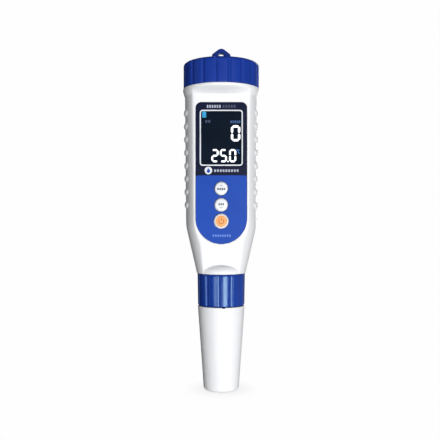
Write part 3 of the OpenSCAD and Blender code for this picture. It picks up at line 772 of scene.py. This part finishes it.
def make_battery_cap():
    """The blue screw cap: one closed shell, with the lanyard loop on top."""
    angles = turn(CAP_SIDES)
    bottom_z = low("battery_cap").z
    top_z = high("battery_cap").z - CAP_EAR_H
    sharp_degrees = 32
    grip = fluting(angles, count=18, first=math.radians(-98), radius=BATTERY_CAP_R, cutter_r=1.3,
                   depth=0.42, crown=0.25)
    rings = cap_inside(angles, bottom_z, top_z) + cap_outside(angles, bottom_z, top_z, grip)
    cap = ring_stack("battery_cap_shell", rings, CAP_SIDES, closed=False)
    finish_mesh(cap, sharp_degrees)
    join(cap, lanyard_loop(top_z + CAP_PEDESTAL_H))
    cap.data.set_sharp_from_angle(angle=math.radians(sharp_degrees))
    place(cap, BLUE_MATT, "battery_cap", "blue_abs", "battery_cap")


def make_collar():
    """The blue fluted nut, with its lip and inner thread. Its flutes run out on the
    rounded lower edge."""
    angles = turn(CAP_SIDES)
    bottom_z, top_z = low("collar").z, high("collar").z
    bore_r = NIPPLE_R + THREAD_DEPTH + THREAD_PLAY
    lip_z = bottom_z + 2.5
    lip_r = 9.25
    edge = 0.7
    edge_steps = 5
    bevel = 0.2
    narrowing = 0.3
    thread_z = LOWER_THREAD_Z + THREAD_LEAD / 2
    thread_turns = 2
    flutes = fluting(angles, count=12, first=math.radians(-96), radius=COLLAR_R, cutter_r=1.7,
                     depth=0.4, crown=0.12)

    def outer(z):
        return COLLAR_R - narrowing * (top_z - z) / (top_z - bottom_z)

    rings = [(bottom_z, lip_r + bevel)]
    for step, (rise, inset) in enumerate(quarter_round(edge, edge_steps)):
        share = 0.5 + 0.5 * step / edge_steps
        rings.append((bottom_z + rise, outer(bottom_z + rise) - inset - share * flutes))
    for z in spread(bottom_z + edge + 0.6, top_z - 0.3, 2.0):
        rings.append((z, outer(z) - flutes))
    for drop, inset in ((0.25, 0), (0.07, 0.08), (0, 0.25)):
        rings.append((top_z - drop, COLLAR_R - inset - flutes))
    rings.append((top_z, bore_r + bevel))
    for z in spread(top_z - bevel, lip_z + 0.2, 0.25):
        rings.append((z, bore_r + thread(z, angles, thread_z, thread_turns, facing=-1)))
    rings += [(lip_z, bore_r), (lip_z, lip_r), (bottom_z + bevel, lip_r)]
    collar = finish_mesh(ring_stack("collar_nut", rings, CAP_SIDES), 34)
    place(collar, BLUE_ABS, "collar", "blue_abs", "collar")


def make_protective_cap():
    """The white cap that the pen stands on: a tapered cup with a rounded foot, a
    wide seat for the sensor inside, and a small vent notch in its rim."""
    top_z = high("protective_cap").z
    rim_r = high("protective_cap").x
    foot_r, hollow_r, hollow_z = 9.25, 6.2, 0.25
    floor_r, floor_z = 7.5, 2
    seat_r, seat_z = 9.5, 30
    middle_r = 0.3
    outside = [(middle_r, hollow_z, 0), (hollow_r, hollow_z, 0.2), (hollow_r + 0.4, 0, 0.3),
               (foot_r, 0, 1.7), (rim_r, top_z, 0.35)]
    inside = [(seat_r + 0.4, top_z, 0.2), (seat_r, top_z - 0.8, 0.2), (seat_r, seat_z, 0.2),
              (seat_r - 0.4, seat_z - 0.5, 0.3), (floor_r, floor_z, 1.2), (middle_r, floor_z, 0)]
    rings = [(z, r) for r, z in rounded_line(outside + inside, 6)]
    cap = finish_mesh(ring_stack("protective_cap_shell", rings, PLAIN_SIDES, closed=False))
    notch_outline = box_outline(x=1.2, z=top_z, width=1.5, height=1.1, corner=0.3)
    notch = plate("notch", [notch_outline], -rim_r - 1, -9)
    cut(cap, notch)
    cap.data.set_sharp_from_angle(angle=math.radians(SHARP_DEGREES))
    place(cap, WHITE_ABS, "protective_cap", "white_abs", "protective_cap")


# ---------------------------------------------------------------------------
# Front panel, its print and the display

INK = 0.03
INK_OVER_INK = 0.05
INK_ON_KEY = 0.02
BLUE_TOP_Z = PANEL_LOW.z + 35.0


def key_holes(grow=0.3):
    """Outlines of the holes round the keys, each wider than its key by grow."""
    return [disc_outline(0, key_height(key), radius + grow, 56) for key, (_, radius) in KEYS.items()]


def block_row(x, z, width, height, blocks, gap):
    """A row of small blocks that stands for a line of small print. It starts at x."""
    part = (width - gap * (blocks - 1)) / blocks
    middles = [x + part / 2 + i * (part + gap) for i in range(blocks)]
    return [box_outline(middle, z, part, height, 0.12, 2) for middle in middles]


def print_on(name, outlines, material, slot="panel_film", face_y=PANEL_FACE_Y, body="housing", ink=INK):
    """Ink, as a very thin plate on a face, let into it a little."""
    printed = plate(name, outlines, face_y - ink, face_y + 0.02)
    place(printed, material, body, slot)


def arc_line(x, z, radius, start, stop, steps=24):
    """Points along an arc, in degrees."""
    return [(x + radius * math.cos(math.radians(a)), z + radius * math.sin(math.radians(a)))
            for a in np.linspace(start, stop, steps)]


def drop_outline(x, z, radius):
    """A water drop with its point up."""
    return arc_line(x, z, radius, 150, 390, 20) + [(x, z + 1.9 * radius)]


def make_panel():
    """The film on the front, with everything printed on it."""
    window_play = 0.1
    window = box_outline(0, LENS_MID.z, LENS_SIZE.x + window_play, LENS_SIZE.z + window_play)
    film = plate("panel_film", [panel_outline(), window, *key_holes()], PANEL_FACE_Y, PANEL_HIGH.y, 0.12)
    place(film, NAVY_FILM, "housing", "panel_film", "front_panel")
    print_on("panel_blue_field", [panel_outline(BLUE_TOP_Z, 1.5), *key_holes(0.45)], BLUE_FILM)

    line_width, line_height, line_thick = 22.0, 28.6, 0.6
    line_outside = box_outline(0, LENS_MID.z, line_width, line_height, 1.5)
    line_inside = box_outline(0, LENS_MID.z, line_width - 2 * line_thick, line_height - 2 * line_thick, 1.0)
    print_on("window_line", [line_outside, line_inside], WHITE_PRINT, ink=INK_OVER_INK)

    title_z = PANEL_HIGH.z - 2.15
    title_bright = block_row(-7.4, title_z, width=7.1, height=1.5, blocks=6, gap=0.45)
    title_dim = block_row(0.7, title_z, width=6.5, height=1.5, blocks=5, gap=0.45)
    print_on("title_bright", title_bright, PALE_PRINT)
    print_on("title_dim", title_dim, DIM_PRINT)

    mark_x, mark_z = -6.6, PANEL_LOW.z + 37.5
    mark_row = block_row(-3.6, mark_z - 0.1, width=12.4, height=1.3, blocks=9, gap=0.5)
    print_on("mark_disc", [disc_outline(mark_x, mark_z, 1.95)], WHITE_PRINT)
    print_on("mark_drop", [drop_outline(mark_x, mark_z - 0.35, 0.85)], BLUE_FILM, ink=INK_OVER_INK)
    print_on("mark_row", mark_row, PALE_PRINT)

    foot_row = block_row(-4.4, PANEL_LOW.z + 4.2, width=9.2, height=1.1, blocks=8, gap=0.45)
    print_on("foot_row", foot_row, BLUE_PRINT, ink=INK_OVER_INK)


# The strokes of each character: a is on top, b to f follow clockwise, g is the middle
SEGMENTS = {"0": "abcdef", "2": "abged", "5": "afgcd", "C": "afed"}


def digit(character, x, z, width, height, stroke):
    """Outlines of one seven-segment figure: strokes with pointed ends and small
    gaps between them. (x, z) is its lower left corner."""
    gap = 0.07 * stroke + 0.04
    half = stroke / 2
    left, right = x + half, x + width - half
    bottom, middle, top = z + half, z + height / 2, z + height - half
    runs = {
        "a": ((left, top), (right, top)),
        "b": ((right, middle), (right, top)),
        "c": ((right, bottom), (right, middle)),
        "d": ((left, bottom), (right, bottom)),
        "e": ((left, bottom), (left, middle)),
        "f": ((left, middle), (left, top)),
        "g": ((left, middle), (right, middle)),
    }
    outlines = []
    for name in SEGMENTS[character]:
        start, end = Vector(runs[name][0]), Vector(runs[name][1])
        along = (end - start).normalized()
        start, end = start + along * gap, end - along * gap
        tip = along * half
        side = Vector((-along.y, along.x)) * half
        corners = (start, start + tip - side, end - tip - side, end, end - tip + side, start + tip + side)
        outlines.append([tuple(corner) for corner in corners])
    return outlines


def make_display():
    """The smoked window and what the display shows: a reading, a temperature with
    its degree mark, two rows of small print and a battery. Ink on the window's face
    stands for the lit segments."""
    face_y = low("display_lens").y
    outline = box_outline(0, LENS_MID.z, LENS_SIZE.x, LENS_SIZE.z, 0.3)
    lens = plate("lens", [outline], face_y, high("display_lens").y, 0.08)
    place(lens, LENS, "housing", "smoked_lens", "display_lens")

    def lit(name, outlines, material):
        print_on(name, outlines, material, "smoked_lens", face_y)

    reading = digit("0", 4.95, LENS_MID.z - 1.8, width=4.75, height=8.2, stroke=1.15)
    lit("reading", reading, SEGMENT_WHITE)

    low_z = LENS_MID.z - 12.5
    point = box_outline(3.42, low_z + 0.42, 0.62, 0.72, 0.1, 2)
    temperature = []
    for character, x in (("2", -5.05), ("5", -0.75), ("0", 4.0)):
        temperature += digit(character, x, low_z, width=3.65, height=6.7, stroke=0.92)
    lit("temperature", temperature + [point], SEGMENT_WHITE)

    degree_x, degree_z = 8.1, low_z + 6.3
    degree = [disc_outline(degree_x, degree_z, 0.38, 20), disc_outline(degree_x, degree_z, 0.18, 16)]
    letter = digit("C", 8.55, low_z + 4.5, width=1.15, height=1.9, stroke=0.3)
    lit("degree_mark", degree, SEGMENT_BLUE)
    lit("degree_letter", letter, SEGMENT_BLUE)

    unit_row = block_row(4.65, LENS_MID.z + 8.15, width=5.1, height=1.35, blocks=5, gap=0.35)
    mode_row = block_row(-8.2, LENS_MID.z + 8.4, width=2.6, height=1.4, blocks=2, gap=0.35)
    lit("unit_row", unit_row, SEGMENT_FAINT)
    lit("mode_row", mode_row, SEGMENT_DIM)

    battery_x, battery_z = -8.7, LENS_MID.z + 11.75
    icon_outside = box_outline(battery_x, battery_z, 1.9, 2.7, 0.25)
    icon_inside = box_outline(battery_x, battery_z, 1.35, 2.15, 0.1)
    tip = box_outline(battery_x, battery_z + 1.55, 0.8, 0.3, 0.05, 2)
    charge = [box_outline(battery_x, battery_z - 0.6 + 0.62 * i, 0.95, 0.42, 0.05, 2) for i in range(3)]
    lit("battery_icon", [icon_outside, icon_inside], SEGMENT_CYAN)
    lit("battery_level", charge + [tip], SEGMENT_CYAN)


# ---------------------------------------------------------------------------
# Keys

def key_cap(name, z, radius, bore=0.0):
    """A round key that faces -Y: crowned edge, straight side and a hidden rim. A
    bore makes a shallow well in its face."""
    face_y = low("mode_key").y
    back_y = high("mode_key").y
    rim_front_y = PANEL_HIGH.y + 0.1
    rim_back_y = rim_front_y + 0.7
    rim_r = radius + KEY_RIM
    well_y = face_y + 1.2
    middle_r = 0.25
    corners = [(middle_r, back_y, 0), (radius, back_y, 0.1), (radius, rim_back_y, 0),
               (rim_r, rim_back_y, 0.1), (rim_r, rim_front_y, 0.1), (radius, rim_front_y, 0),
               (radius, face_y + 0.12, 0.45)]
    if bore:
        corners += [(bore + 0.15, face_y, 0.1), (bore, face_y + 0.2, 0.1), (bore, well_y, 0),
                    (middle_r, well_y, 0)]
    else:
        corners += [(radius * 0.45, face_y, 1.0), (middle_r, face_y, 0)]
    rings = [(y, r) for r, y in rounded_line(corners, 4)]
    key = ring_stack(name, rings, KEY_SIDES, closed=False)
    key.data.transform(Matrix.Translation((0, 0, z * MM)) @ Matrix.Rotation(-math.pi / 2, 4, "X"))
    return finish_mesh(key)


def chevron(z, width, rise, stroke):
    """A small arrow head, up when rise is positive."""
    foot_z, tip_z = z - rise / 2, z + rise / 2
    return stroke_outline([(-width / 2, foot_z), (0, tip_z), (width / 2, foot_z)], stroke)


def make_keys():
    """The three keys and their symbols. The upper white key has an arrow up over its
    row of blocks, and the lower one an arrow down under it."""
    face_y = low("mode_key").y
    for key, sign, blocks, width in (("mode", 1, 4, 4.0), ("cal", -1, 3, 2.7)):
        node, radius = KEYS[key]
        z = key_height(key)
        body = f"{key}_key"
        place(key_cap(f"{key}_key_cap", z, radius), KEY_WHITE, body, "key_white", node)
        arrow = chevron(z + sign * 1.4, width=1.6, rise=sign * 0.6, stroke=0.28)
        print_on(f"{key}_arrow", [arrow], KEY_ARROW, "key_white", face_y, body, INK_ON_KEY)
        label = block_row(-width / 2, z - sign * 0.3, width, height=1.15, blocks=blocks, gap=0.3)
        print_on(f"{key}_label", label, KEY_PRINT, "key_white", face_y, body, INK_ON_KEY)

    node, radius = KEYS["power"]
    z = key_height("power")
    pad_y = low("power_key_centre").y
    pad_r, well_r = 2.86, 2.9
    place(key_cap("power_key_rim", z, radius, well_r), KEY_WHITE, "power_key", "key_white", node)
    pad = plate("power_key_pad", [disc_outline(0, z, pad_r, 72)], pad_y, high("power_key_centre").y, 0.25)
    place(pad, KEY_ORANGE, "power_key", "key_orange", "power_key_centre")

    stroke = 0.36
    arc = stroke_outline(arc_line(0, z - 0.1, 1.25, -230, 50), stroke)
    bar = box_outline(0, z + 0.95, stroke, 1.35, 0.1, 2)
    print_on("power_symbol", [arc, bar], POWER_PRINT, "key_orange", pad_y, "power_key", INK_ON_KEY)


# ---------------------------------------------------------------------------
# Carried CAD nodes

CARRIED = [
    (DARK_PLASTIC, ("sensor_body", "board_chips", "key_switches", "sensor_socket", "chassis")),
    (NATURAL_PLASTIC, ("lcd_backlight", "contact_disc", "mode_plunger", "cal_plunger", "power_plunger")),
    (RUBBER, ("cap_o_ring", "sensor_o_ring", "battery_cap_o_ring", "lcd_connector_strips")),
    (STEEL, ("temperature_probe", "chassis_screws", "lower_contact_spring", "lower_contact_plate",
             "upper_contact_spring", "upper_contact_bridge", "contact_screw")),
    (JACKET, ("battery_cell_left", "battery_cell_right")),
    (GRAPHITE, ("sensing_electrodes",)),
    (GOLD, ("sensor_pins",)),
    (GLASS_BACK, ("lcd_glass",)),
    (BOARD, ("main_board",)),
    (RIBBON, ("sensor_ribbon",)),
    (LEADS, ("battery_leads",)),
]


def coat_carried():
    """Every CAD node that stays gets its finish."""
    for material, nodes in CARRIED:
        for node in nodes:
            coat_with(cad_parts[node], material)


# ---------------------------------------------------------------------------
# Stage, light and camera. Lights and camera are placed in metres.

BACKDROP = 0.99
PEN_MIDDLE = Vector((0, 0, 0.09))


def make_floor():
    """A plain white floor that reaches the horizon, with a painted contact shadow
    close round the foot. It shines by itself and takes no light, so that it stays even."""
    radius = 30000
    sides = 96
    points = [(radius * math.cos(a), radius * math.sin(a), 0) for a in turn(sides)]
    floor = mesh_object("floor", points, [tuple(range(sides))])
    paint = bpy.data.materials.new("floor_paint")
    paint.use_nodes = True
    tree = paint.node_tree
    tree.nodes.clear()
    # Painted shadow: the floor's glow is dimmed where ambient occlusion finds the pen's foot.
    openness = node_at(tree, "ShaderNodeAmbientOcclusion", Distance=12 * MM).outputs["AO"]
    level = ramp(tree, openness, 0.2, 1.0, 0.80, BACKDROP)
    glow = node_at(tree, "ShaderNodeEmission", Color=(1, 1, 1, 1))
    tree.links.new(level, glow.inputs["Strength"])
    output = tree.nodes.new("ShaderNodeOutputMaterial")
    tree.links.new(glow.outputs["Emission"], output.inputs["Surface"])
    coat_with(floor, paint)
    floor.visible_glossy = False
    floor.visible_diffuse = False
    floor.visible_shadow = False


def softbox(name, azimuth, elevation, distance, width, height, power):
    """A rectangular light aimed at the pen's middle. Azimuth 0 is in front of the
    pen, and 90 is to the right of the camera."""
    light = bpy.data.lights.new(name, "AREA")
    light.shape = "RECTANGLE"
    light.size = width
    light.size_y = height
    light.energy = power
    obj = bpy.data.objects.new(name, light)
    bpy.context.scene.collection.objects.link(obj)
    a, e = math.radians(azimuth), math.radians(elevation)
    offset = Vector((math.sin(a) * math.cos(e), -math.cos(a) * math.cos(e), math.sin(e))) * distance
    obj.location = PEN_MIDDLE + offset
    obj.rotation_euler = (-offset).to_track_quat("-Z", "Y").to_euler()
    obj.visible_camera = False


def make_lights():
    """Soft studio light: a tall strip low in front and to the right, weak light
    from the left, and a wide light behind."""
    softbox("strip_light", azimuth=19, elevation=-17, distance=1.1, width=0.42, height=1.0, power=13.2)
    softbox("left_light", azimuth=-24, elevation=-6, distance=1.3, width=0.5, height=0.6, power=3.6)
    softbox("far_left_light", azimuth=-75, elevation=10, distance=1.0, width=0.3, height=0.8, power=1.0)
    softbox("back_light", azimuth=172, elevation=18, distance=1.2, width=0.9, height=0.9, power=9.0)


def make_room():
    """The room's own light: dim on the left and above, pale on the right and below.
    The camera sees a plain pale backdrop in its place."""
    world = bpy.data.worlds.new("studio")
    bpy.context.scene.world = world
    world.use_nodes = True
    tree = world.node_tree
    tree.nodes.clear()
    direction = tree.nodes.new("ShaderNodeTexCoord")
    parts = tree.nodes.new("ShaderNodeSeparateXYZ")
    tree.links.new(direction.outputs["Generated"], parts.inputs["Vector"])
    side = ramp(tree, parts.outputs["X"], -0.3, 0.9, 0.04, 0.3)
    ceiling = ramp(tree, parts.outputs["Z"], -0.5, 0.5, 1.3, 0.5)
    level = tree.nodes.new("ShaderNodeMath")
    level.operation = "MULTIPLY"
    tree.links.new(side, level.inputs[0])
    tree.links.new(ceiling, level.inputs[1])
    room = node_at(tree, "ShaderNodeBackground", Color=(1, 1, 1, 1))
    tree.links.new(level.outputs["Value"], room.inputs["Strength"])
    backdrop = node_at(tree, "ShaderNodeBackground", Color=(1, 1, 1, 1), Strength=BACKDROP)
    seen = tree.nodes.new("ShaderNodeLightPath")
    choice = tree.nodes.new("ShaderNodeMixShader")
    tree.links.new(seen.outputs["Is Camera Ray"], choice.inputs["Fac"])
    tree.links.new(room.outputs["Background"], choice.inputs[1])
    tree.links.new(backdrop.outputs["Background"], choice.inputs[2])
    output = tree.nodes.new("ShaderNodeOutputWorld")
    tree.links.new(choice.outputs["Shader"], output.inputs["Surface"])
    bpy.context.scene.view_settings.view_transform = "Standard"


def make_camera():
    """A level camera in front of the pen, at about the height of its keys."""
    distance, height, to_the_left = 0.3396, 0.0894, 0.00065
    camera = bpy.data.cameras.new("camera")
    camera.sensor_width = 36
    camera.lens = 52.36
    camera.clip_start = 0.01
    camera.clip_end = 100
    obj = bpy.data.objects.new("camera", camera)
    bpy.context.scene.collection.objects.link(obj)
    obj.location = (-to_the_left, -distance, height)
    obj.rotation_euler = (math.pi / 2, 0, 0)
    bpy.context.scene.camera = obj


make_camera()
make_housing()
make_battery_cap()
make_collar()
make_protective_cap()
make_panel()
make_display()
make_keys()
coat_carried()
make_floor()
make_lights()
make_room()
